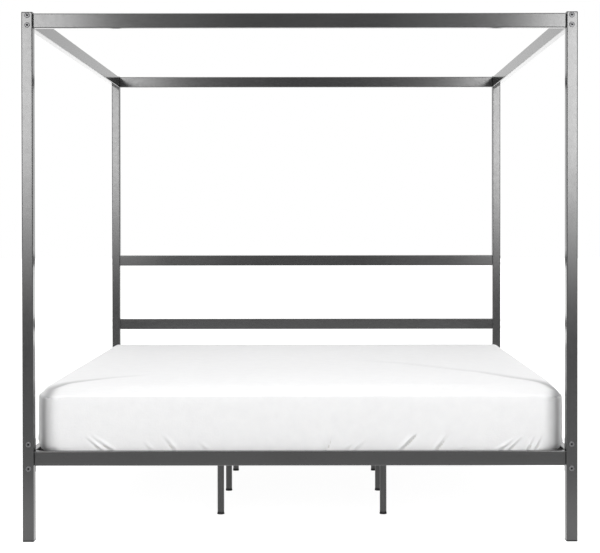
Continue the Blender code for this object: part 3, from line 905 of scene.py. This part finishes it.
class Bedding:
    """The soft block's shape: a softly crowned box, as a function of where one stands on it."""

    def __init__(self, low, high, shrink):
        self.half = ((high.x - low.x) / 2 + SIDE_BULGE - shrink, (high.y - low.y) / 2 - shrink)
        self.low = low.z
        self.top = high.z - TOP_SINK - shrink
        generator = random.Random(GATHER_SEED)
        self.gathers = {
            "foot": FOOT_GATHERS,
            "head": other_gathers(generator, self.half[0]),
            "left": other_gathers(generator, self.half[1]),
            "right": other_gathers(generator, self.half[1]),
        }

    def crown(self, x, y):
        """Height of the top at (x, y)."""
        along = max(self.half[1] - abs(y), 0.0)
        across = max(self.half[0] - abs(x), 0.0)
        end_drop = fall(along, *(FOOT_FALL if y < 0 else HEAD_FALL))
        side_drop = fall(across, *SIDE_FALL)
        return self.top + TOP_TILT * y - max(end_drop, side_drop) - self.crease(x, y)

    def radii(self, side, t):
        """Rounding of the top edge and of the lower edge at t along a side."""
        half_along = self.half[0] if side in ENDS else self.half[1]
        nearness = smooth_step(abs(t) * half_along, half_along - PLAN_CORNER / 2 - CORNER_REACH,
                               half_along - PLAN_CORNER / 2)
        return [middle + (corner - middle) * nearness
                for middle, corner in zip(EDGE_RADII[side], CORNER_RADII)]

    @staticmethod
    def crease(x, y):
        """Depth of the pulled creases at (x, y)."""
        deepest = 0.0
        for crease in CREASES:
            for (x0, y0, depth0), (x1, y1, depth1) in zip(crease, crease[1:]):
                run = Vector((x1 - x0, y1 - y0))
                off = Vector((x - x0, y - y0))
                share = min(max(off.dot(run) / run.length_squared, 0.0), 1.0)
                miss = (off - run * share).length
                if miss > CREASE_SPAN:
                    continue
                depth = depth0 + (depth1 - depth0) * share
                deepest = max(deepest, depth * math.exp(-(miss / CREASE_WIDTH) ** 2))
        return deepest

    def rim(self, side, t):
        """Point and outward direction on the plan outline; t from -1 to 1 along a side."""
        if side in ENDS:
            half_along, half_across = self.half
        else:
            half_across, half_along = self.half
        straight = half_along - PLAN_CORNER
        travel = t * (straight + PLAN_CORNER * math.pi / 4)
        bend = max(abs(travel) - straight, 0.0) / PLAN_CORNER
        sign = 1 if travel > 0 else -1
        along = sign * (min(abs(travel), straight) + PLAN_CORNER * math.sin(bend))
        across = half_across - PLAN_CORNER * (1 - math.cos(bend))
        normal = (sign * math.sin(bend), math.cos(bend))
        return self.to_plan(side, along, across), self.to_plan(side, *normal)

    @staticmethod
    def to_plan(side, along, across):
        """Turns a place or direction along and out from a side into X and Y."""
        if side in ENDS:
            return Vector((along, ENDS[side] * across))
        return Vector((SIDES[side] * across, along))

    def ripple(self, side, t, height):
        """How far the gathers push the skirt out, at t along a side and a height over the hem.

        At the head they only push it in, as the headboard stands close behind it."""
        half_along = self.half[0] if side in ENDS else self.half[1]
        along = t * half_along
        push = 0.0
        for place, tall, lean in self.gathers[side]:
            if abs(along - place) > GATHER_SPAN:
                continue
            outward = 1 if place > 0 else -1
            run = (outward * lean * GATHER_REACH, tall * GATHER_REACH)
            length = math.hypot(*run)
            unit = (run[0] / length, run[1] / length)
            off = (along - place, height - GATHER_FOOT)
            forward = off[0] * unit[0] + off[1] * unit[1]
            sideways = off[0] * unit[1] - off[1] * unit[0]
            peak, fade = GATHER_PEAK
            taper = max(1 - abs(forward / length - peak) / fade, 0.0)
            ridge = math.exp(-(sideways / FOLD_WIDTH) ** 2)
            hollow = math.exp(-((sideways - outward * FOLD_OFFSET) / FOLD_WIDTH) ** 2)
            fold = ridge - HOLLOW_SHARE * hollow
            depth = GATHER_DEPTH * min(tall / USUAL_GATHER, DEEPEST_GATHER)
            push += depth * fold * taper ** GATHER_TAPER
        return min(push, 0.0) if side == "head" else push


def doubled(places):
    """The same places with one more halfway between each two."""
    result = [places[0]]
    for before, after in zip(places, places[1:]):
        result += [(before + after) / 2, after]
    return result


def walk_round(bedding, places_x, places_y):
    """Every rim station, anticlockwise from above: (side, t, point, outward direction)."""
    stations = []
    order = (("foot", places_x), ("right", places_y), ("head", places_x[::-1]),
             ("left", places_y[::-1]))
    for side, places in order:
        for place in places[:-1]:
            t = place / abs(places[0])
            point, normal = bedding.rim(side, t)
            stations.append((side, t, point, normal))
    return stations


def skirt_levels(bedding, rows, low_turn):
    """Levels down the side, each (part, how far through it), from the top's edge down.

    The rounded parts go by their angle, the side between them by its share."""
    upper_rows, band_rows = rows
    upper = 1 - GATHER_BAND / (bedding.top - bedding.low)
    levels = [("top", math.pi / 2 * step / TOP_TURN_ROWS) for step in range(1, TOP_TURN_ROWS + 1)]
    levels += [("side", upper * step / upper_rows) for step in range(1, upper_rows + 1)]
    levels += [("side", upper + (1 - upper) * step / band_rows)
               for step in range(1, band_rows + 1)]
    low_steps = max(round(low_turn / LOW_TURN_STEP), 1)
    levels += [("low", low_turn * step / low_steps) for step in range(1, low_steps + 1)]
    return levels


def skirt_point(bedding, station, level, edge_height, wrinkle):
    """A point of the skirt under one rim station."""
    side, t, rim, normal = station
    kind, value = level
    top_round, low_round = bedding.radii(side, t)
    low_start = bedding.low + low_round
    high_start = edge_height - top_round
    if kind == "top":
        inset = top_round * (1 - math.sin(value)) + SIDE_TUCK
        z = edge_height - top_round * (1 - math.cos(value))
    elif kind == "side":
        inset = SIDE_TUCK * (1 - math.sin(math.pi * value)) ** 2
        z = high_start + (low_start - high_start) * value
    else:
        inset = low_round * (1 - math.cos(value)) + SIDE_TUCK
        z = low_start - low_round * math.sin(value)
    push = bedding.ripple(side, t, z - bedding.low) if wrinkle and kind != "top" else 0.0
    if kind == "low":
        push *= math.cos(value)
    flat = rim - normal * (inset - push)
    return (flat.x, flat.y, z)


def top_grid(mesh, bedding, places_x, places_y):
    """The plain grid on top; returns its outer loop of vertices, anticlockwise."""
    grid = [[mesh.verts.new((x, y, bedding.crown(x, y))) for x in places_x] for y in places_y]
    for lower, upper in zip(grid, grid[1:]):
        for i in range(len(lower) - 1):
            mesh.faces.new((lower[i], lower[i + 1], upper[i + 1], upper[i]))
    loop = grid[0][:-1]
    loop += [line[-1] for line in grid[:-1]]
    loop += grid[-1][:0:-1]
    loop += [line[0] for line in grid[:0:-1]]
    return loop


def graded(half, fine_low, fine_high, fine, coarse):
    """Places from -half to half: fine steps over a length at each end, coarse ones between."""
    count_low, count_high = round(fine_low / fine), round(fine_high / fine)
    middle = 2 * half - fine_low - fine_high
    count = round(middle / coarse)
    places = [-half + fine_low * i / count_low for i in range(count_low)]
    places += [-half + fine_low + middle * i / count for i in range(count)]
    places += [half - fine_high * i / count_high for i in range(count_high, 0, -1)]
    return places + [half]


def join_rows(mesh, upper, lower):
    """Faces from a row of vertices out to the next, which has as many or twice as many."""
    count = len(upper)
    for i in range(count):
        j = (i + 1) % count
        if len(lower) == count:
            mesh.faces.new((upper[i], lower[i], lower[j], upper[j]))
        else:
            middle, last = lower[2 * i + 1], lower[(2 * i + 2) % len(lower)]
            mesh.faces.new((upper[i], lower[2 * i], middle))
            mesh.faces.new((upper[i], middle, upper[j]))
            mesh.faces.new((upper[j], middle, last))


def margin_row(mesh, bedding, stations, share):
    """A row on the top between the grid, at share 0, and the start of its rounded edge."""
    inner_x, inner_y = (half - INNER_MARGIN for half in bedding.half)
    row = []
    for side, t, rim, normal in stations:
        edge = rim - normal * (bedding.radii(side, t)[0] + SIDE_TUCK)
        if side in ENDS:
            inner = Vector((t * inner_x, ENDS[side] * inner_y))
        else:
            inner = Vector((SIDES[side] * inner_x, t * inner_y))
        flat = inner.lerp(edge, share)
        row.append(mesh.verts.new((flat.x, flat.y, bedding.crown(flat.x, flat.y))))
    return row


def bedding_surface(bedding, grid, rows, doublings, low_turn, wrinkle):
    """The whole soft surface, and its last row, from the middle of its top to its lower edge.

    The rows get twice as many faces once on the margin and once more at the gathers, as
    far as `doublings` allows."""
    mesh = bmesh.new()
    fine_x, coarse_x, fine_y, coarse_y = grid
    inner_x, inner_y = (half - INNER_MARGIN for half in bedding.half)
    places_x = graded(inner_x, FINE_ACROSS, FINE_ACROSS, fine_x, coarse_x)
    places_y = graded(inner_y, FINE_AT_FOOT, FINE_AT_HEAD, fine_y, coarse_y)
    loop = top_grid(mesh, bedding, places_x, places_y)
    for step in range(1, MARGIN_ROWS + 1):
        if step == MARGIN_DOUBLING and doublings > 0:
            places_x, places_y = doubled(places_x), doubled(places_y)
        stations = walk_round(bedding, places_x, places_y)
        row = margin_row(mesh, bedding, stations, step / MARGIN_ROWS)
        join_rows(mesh, loop, row)
        loop = row
    edge_heights = [vertex.co.z for vertex in loop]
    second_doubling = TOP_TURN_ROWS + rows[0] if doublings > 1 else -1
    for number, level in enumerate(skirt_levels(bedding, rows, low_turn)):
        if number == second_doubling:
            places_x, places_y = doubled(places_x), doubled(places_y)
            stations = walk_round(bedding, places_x, places_y)
            edge_heights = doubled(edge_heights + edge_heights[:1])[:-1]
        row = [mesh.verts.new(skirt_point(bedding, station, level, height, wrinkle))
               for station, height in zip(stations, edge_heights)]
        join_rows(mesh, loop, row)
        loop = row
    return mesh, loop


def corner_painted_shade(bedding, x, y):
    """Painted shade at (x, y) on the skirt, in a band down each corner at a set angle round it."""
    centre_x, centre_y = (half - PLAN_CORNER for half in bedding.half)
    bend, width, shade = CORNER_PAINTED_SHADE
    if abs(x) < centre_x or abs(y) < centre_y:
        return 0.0
    angle = math.atan2(abs(x) - centre_x, abs(y) - centre_y)
    return shade * math.exp(-((angle - bend) * PLAN_CORNER / width) ** 2)


def paint_crease_and_corner_shade(mesh, bedding):
    """Marks painted shade at each point, 0 to 1: by how deep it lies in a crease near the top, or
    how near it lies to a band down each corner.
    """
    layer = mesh.verts.layers.float.new("painted_shade")
    mesh.normal_update()
    for vertex in mesh.verts:
        x, y, z = vertex.co
        shade = 0.0
        if z > bedding.top - EDGE_BAND:
            shade = min(bedding.crease(x, y) / DEEPEST_CREASE, 1.0)
        if abs(vertex.normal.z) < FLAT_ENOUGH:
            # Painted shade in a band down each corner of the skirt
            shade = max(shade, corner_painted_shade(bedding, x, y))
        vertex[layer] = shade


def unroll(mesh, bedding):
    """Gives the cloth a UV in metres: flat on top, and unrolled down each side."""
    layer = mesh.loops.layers.uv.new("cloth")
    for face in mesh.faces:
        middle = face.calc_center_median()
        at_an_end = abs(middle.y) / bedding.half[1] > abs(middle.x) / bedding.half[0]
        for corner in face.loops:
            x, y, z = corner.vert.co
            if abs(face.normal.z) > FLAT_ENOUGH:
                corner[layer].uv = (x, y)
            else:
                corner[layer].uv = (x if at_an_end else y, z)


def make_sheet():
    """The fitted sheet, its hem gathered by elastic under the mattress's lower edge."""
    low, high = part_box("fitted_sheet")
    low.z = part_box("mattress")[0].z
    bedding = Bedding(low, high, 0.0)
    mesh = bedding_surface(bedding, SHEET_GRID, SHEET_ROWS, 2, SHEET_TURN, True)[0]
    bmesh.ops.recalc_face_normals(mesh, faces=mesh.faces)
    unroll(mesh, bedding)
    # Painted shade for the creases and the corners, as a mark on each point
    paint_crease_and_corner_shade(mesh, bedding)
    sheet = finish_piece("cotton_fitted_sheet", mesh, COTTON, MATTRESS_BODY,
                         ["fitted_sheet"], smooth=180)
    thick = sheet.modifiers.new("cloth thickness", "SOLIDIFY")
    thick.thickness = CLOTH
    thick.offset = -1
    return sheet


def make_mattress():
    """The mattress in its knitted cover, under the sheet and open to view from below."""
    low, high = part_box("fitted_sheet")
    low.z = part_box("mattress")[0].z + TICKING_LIFT
    bedding = Bedding(low, high, UNDER_SHEET)
    mesh, rim = bedding_surface(bedding, MATTRESS_GRID, MATTRESS_ROWS, 0, math.pi / 2, False)
    base = mesh.faces.new(rim[::-1])
    bmesh.ops.inset_region(mesh, faces=[base], thickness=BASE_INSET)
    bmesh.ops.recalc_face_normals(mesh, faces=mesh.faces)
    mattress = finish_piece("mattress_in_ticking", mesh, TICKING, MATTRESS_BODY,
                            ["mattress"], smooth=180)
    return mattress


# ---------------------------------------------------------------- studio

CAMERA_PLACE = (0.0728, -5.7784, 1.0783)
CAMERA_TILT = (89.521, 0.062, 0.0)
CAMERA_SHIFT = (-0.0352, -0.0649)
FOCAL_LENGTH = 83.39
SENSOR_WIDTH = 36.0

# Brightness of the world round the bed
CEILING = 1.48
BACKDROP = 1.0
ROOM_BEHIND = 0.3

# Lamps: power in watts, place, size, and what they are turned towards
KEY_LIGHT = (25.0, (0.0, -2.3, 3.0), (3.0, 1.6), (0, -0.3, 0.5))
SIDE_LIGHT = (46.0, (4.2, -3.7, 1.1), (1.2, 1.8), (0, -1.0, 0.5))

# Glowing panels beside the camera
FRONT_PANELS = {"left": 6.6, "right": 8.2}
PANEL_PLACE = (2.05, -5.95, 1.75)
PANEL_HALF = (1.70, 1.65)   # half width and half height
PANEL_CORE = (0.68, 1.30)   # the same of its bright middle
PANEL_FADES = (0.45, 1.4, 0.3)      # over which the middle fades aside, below and above
PANEL_HALO = 0.08           # brightness round the middle, as a share of it
PANEL_DIM = 0.3             # brightness of its dimmest part

# Floor
FLOOR_HEIGHT = -0.0005
FLOOR_SIZE = 40.0
FLOOR_TONE = 0.40
FLOOR_SEEN = 0.95           # its glow as the camera sees it
FLOOR_MIRRORED = 0.15       # its glow in the paint, with more in bands: from Y, to Y, gain
FLOOR_BANDS = ((-2.9, -1.2, 0.75), (1.2, 2.5, 0.15), (5.0, 9.0, 0.35))


def make_camera():
    """The camera in front of the bed, its lens shifted off the middle."""
    camera = bpy.data.objects.new("camera", bpy.data.cameras.new("camera"))
    bpy.context.scene.collection.objects.link(camera)
    camera.location = CAMERA_PLACE
    camera.rotation_euler = [math.radians(angle) for angle in CAMERA_TILT]
    camera.data.lens = FOCAL_LENGTH
    camera.data.sensor_width = SENSOR_WIDTH
    camera.data.shift_x, camera.data.shift_y = CAMERA_SHIFT
    bpy.context.scene.camera = camera


def ramp(tree, value, start, end):
    """0 before start, 1 past end, smooth between; start may be the larger."""
    values = {"Value": value, "From Min": start, "From Max": end}
    node = new_node(tree, "ShaderNodeMapRange", values, interpolation_type="SMOOTHSTEP")
    return node.outputs["Result"]


def joined(tree, operation, values):
    """Several sockets and numbers joined in turn by one operation."""
    result = values[0]
    for value in values[1:]:
        node = new_node(tree, "ShaderNodeMath", {0: result, 1: value}, operation=operation)
        result = node.outputs[0]
    return result


def total(tree, *values):
    return joined(tree, "ADD", values)


def product(tree, *values):
    return joined(tree, "MULTIPLY", values)


def unsigned(tree, value):
    return new_node(tree, "ShaderNodeMath", {0: value}, operation="ABSOLUTE").outputs[0]


def coordinates(tree, kind):
    """The shaded point's X, Y and Z: "Object" for its place, "Generated" for a direction."""
    place = new_node(tree, "ShaderNodeTexCoord").outputs[kind]
    return new_node(tree, "ShaderNodeSeparateXYZ", {0: place}).outputs


def ray_is(tree, kind):
    """1 for rays of one kind, and 0 for all others."""
    return new_node(tree, "ShaderNodeLightPath").outputs[f"Is {kind} Ray"]


def studio_glow(tree):
    """Brightness of the studio in each direction: lit backdrop, ceiling and dim room behind."""
    x, y, z = coordinates(tree, "Generated")
    width = unsigned(tree, x)
    behind = product(tree, y, -1.0)
    ceiling = product(tree, ramp(tree, z, 0.35, 0.75), ramp(tree, width, 0.7, 0.3), CEILING)
    backdrop = product(tree, ramp(tree, y, 0.2, 0.6), ramp(tree, z, 0.9, 0.6),
                       ramp(tree, width, 0.75, 0.4), BACKDROP)
    room = product(tree, ramp(tree, behind, 0.1, 0.6), ROOM_BEHIND)
    return total(tree, ceiling, backdrop, room)


def make_studio_world():
    """Plain white as the camera sees it, and the studio's glow for all other rays."""
    world = bpy.data.worlds.new("studio")
    bpy.context.scene.world = world
    world.use_nodes = True
    tree = world.node_tree
    tree.nodes.clear()
    white = (1, 1, 1, 1)
    seen = new_node(tree, "ShaderNodeBackground", {"Color": white, "Strength": 1.0})
    lit = new_node(tree, "ShaderNodeBackground",
                   {"Color": white, "Strength": studio_glow(tree)})
    choose = new_node(tree, "ShaderNodeMixShader",
                      {0: ray_is(tree, "Camera"), 1: lit.outputs[0], 2: seen.outputs[0]})
    new_node(tree, "ShaderNodeOutputWorld", {"Surface": choose.outputs[0]})


def make_lamp(name, energy, place, size, aim):
    """A soft rectangular light at `place`, turned towards `aim`."""
    lamp = bpy.data.objects.new(name, bpy.data.lights.new(name, "AREA"))
    bpy.context.scene.collection.objects.link(lamp)
    lamp.data.shape = "RECTANGLE"
    lamp.data.size, lamp.data.size_y = size
    lamp.data.energy = energy
    lamp.location = place
    lamp.rotation_euler = (Vector(aim) - Vector(place)).to_track_quat("-Z", "Y").to_euler()
    lamp.visible_glossy = False


def make_lamps():
    """One soft light overhead, and one on each side of the camera."""
    make_lamp("overhead_softbox", *KEY_LIGHT)
    energy, (x, y, z), size, aim = SIDE_LIGHT
    for side, sign in SIDES.items():
        make_lamp(f"side_softbox_{side}", energy, (sign * x, y, z), size, aim)


def studio_surface(name, mesh, place, material):
    """A surface of the studio, which is no part of the bed."""
    data = bpy.data.meshes.new(name)
    mesh.to_mesh(data)
    mesh.free()
    data.materials.append(material)
    surface = bpy.data.objects.new(name, data)
    surface.location = place
    bpy.context.scene.collection.objects.link(surface)
    return surface


def studio_material(name):
    """A new material, its nodes, and the input that takes its surface."""
    material = bpy.data.materials.new(name)
    material.use_nodes = True
    nodes = material.node_tree.nodes
    return material, nodes, nodes["Material Output"].inputs["Surface"]


def panel_glow(side):
    """A glow with a bright middle and a faint halo, dim at its edges."""
    material, nodes, surface = studio_material(f"panel_glow_{side}")
    nodes.remove(nodes["Principled BSDF"])
    tree = material.node_tree
    x, _, z = coordinates(tree, "Object")
    width = unsigned(tree, x)
    half_wide, half_high = PANEL_HALF
    core_wide, core_high = PANEL_CORE
    aside, below, above = PANEL_FADES
    core = product(tree, ramp(tree, width, core_wide, core_wide - aside),
                   ramp(tree, z, -core_high, -core_high + below),
                   ramp(tree, z, core_high, core_high - above))
    halo = product(tree, ramp(tree, width, half_wide, core_wide),
                   ramp(tree, z, -half_high, -core_high + above), PANEL_HALO)
    bright = product(tree, total(tree, core, halo), FRONT_PANELS[side])
    glow = new_node(tree, "ShaderNodeEmission", {"Strength": total(tree, bright, PANEL_DIM)})
    tree.links.new(glow.outputs[0], surface)
    return material


def make_front_panel(side):
    """A glowing panel beside the camera, soft at its edges, for the paint to mirror."""
    wide, high = PANEL_HALF
    corners = ((-wide, high), (wide, high), (wide, -high), (-wide, -high))
    mesh = bmesh.new()
    mesh.faces.new([mesh.verts.new((x, 0, z)) for x, z in corners])
    place = (SIDES[side] * PANEL_PLACE[0], PANEL_PLACE[1], PANEL_PLACE[2])
    panel = studio_surface(f"front_panel_{side}", mesh, place, panel_glow(side))
    panel.visible_camera = False
    panel.visible_shadow = False


def pale_floor():
    """Grey in the lamps' light, nearly white to the camera, brighter in bands in the paint."""
    material, nodes, surface = studio_material("pale_floor")
    tree = material.node_tree
    shader = nodes["Principled BSDF"]
    shader.inputs["Base Color"].default_value = (FLOOR_TONE, FLOOR_TONE, FLOOR_TONE, 1)
    shader.inputs["Roughness"].default_value = 1.0
    shader.inputs["Specular IOR Level"].default_value = 0.0
    y = coordinates(tree, "Object")[1]
    bands = [product(tree, ramp(tree, y, start, end), gain) for start, end, gain in FLOOR_BANDS]
    seen = product(tree, ray_is(tree, "Camera"), FLOOR_SEEN)
    mirrored = product(tree, ray_is(tree, "Glossy"), total(tree, *bands, FLOOR_MIRRORED))
    glow = new_node(tree, "ShaderNodeEmission", {"Strength": total(tree, seen, mirrored)})
    both = new_node(tree, "ShaderNodeAddShader", {0: shader.outputs[0], 1: glow.outputs[0]})
    tree.links.new(both.outputs[0], surface)
    return material


def make_floor():
    """A pale seamless floor that stays nearly white under the bed."""
    mesh = bmesh.new()
    bmesh.ops.create_grid(mesh, x_segments=1, y_segments=1, size=FLOOR_SIZE)
    studio_surface("studio_floor", mesh, (0, 0, FLOOR_HEIGHT), pale_floor())


def set_picture_look():
    """Plain display colours, with no film curve."""
    view = bpy.context.scene.view_settings
    view.view_transform = "Standard"
    view.look = "None"


# ---------------------------------------------------------------- the bed

def make_frame_pieces():
    """Posts with their caps and glides, and every rail."""
    for end in ENDS:
        for side in SIDES:
            make_post(end, side)
            make_post_end("post_cap", end, side)
            make_post_end("post_glide", end, side)
        make_rail(f"canopy_rail_{end}")
        make_rail(f"base_rail_{end}")
    for level in ("upper", "lower"):
        make_rail(f"headboard_rail_{level}")
    for side in SIDES:
        make_rail(f"canopy_rail_{side}")
        make_side_rail(side)


def make_base_pieces():
    """What the mattress lies on, and the fasteners."""
    make_slats()
    for row in (1, 2, 3):
        for side in SIDES:
            make_leg(row, side)
            make_foot(row, side)
    make_bolts()
    make_plate_nuts()
    make_slat_screws()


set_picture_look()
make_camera()
make_studio_world()
make_lamps()
for side_name in SIDES:
    make_front_panel(side_name)
make_floor()
make_frame_pieces()
make_base_pieces()
make_mattress()
make_sheet()
